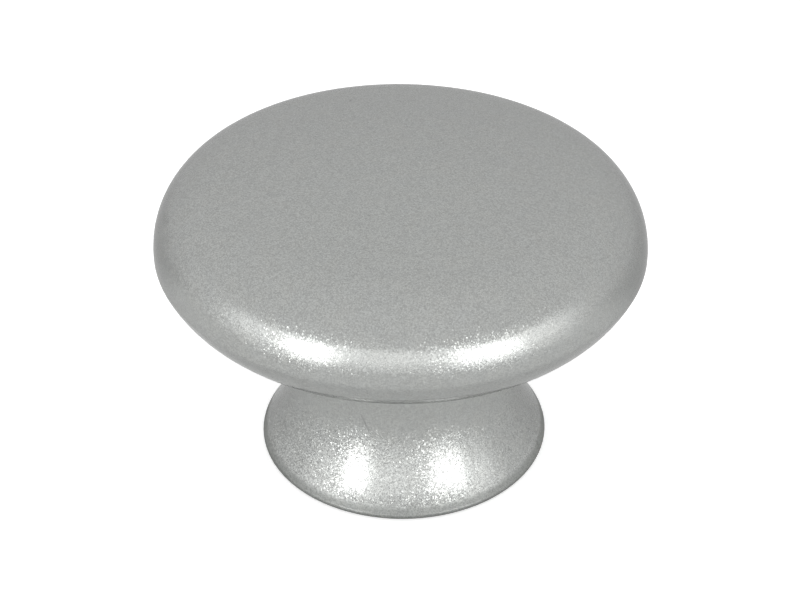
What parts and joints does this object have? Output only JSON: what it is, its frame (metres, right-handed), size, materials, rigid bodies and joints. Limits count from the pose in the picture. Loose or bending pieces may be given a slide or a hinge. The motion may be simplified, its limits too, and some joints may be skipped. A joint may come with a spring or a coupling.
{
  "type": "cabinet knob",
  "caption": "Round mushroom-shaped furniture knob with a shallow crown, rounded rim, flared foot and a threaded blind hole underneath, finished in silver metallic lacquer.",
  "frame": {"origin": "middle of the seating face under the foot, where the screw enters", "axes": "+Z along the knob's axis, from the seating face out through the crown; X and Y are alike"},
  "size_m": [0.038, 0.038, 0.0259],
  "materials": {
    "silver_lacquer": "metallic lacquer with fine silver flake under a clear gloss coat"
  },
  "bodies": {
    "root": {"knob": "silver_lacquer"}
  },
  "joints": []
}
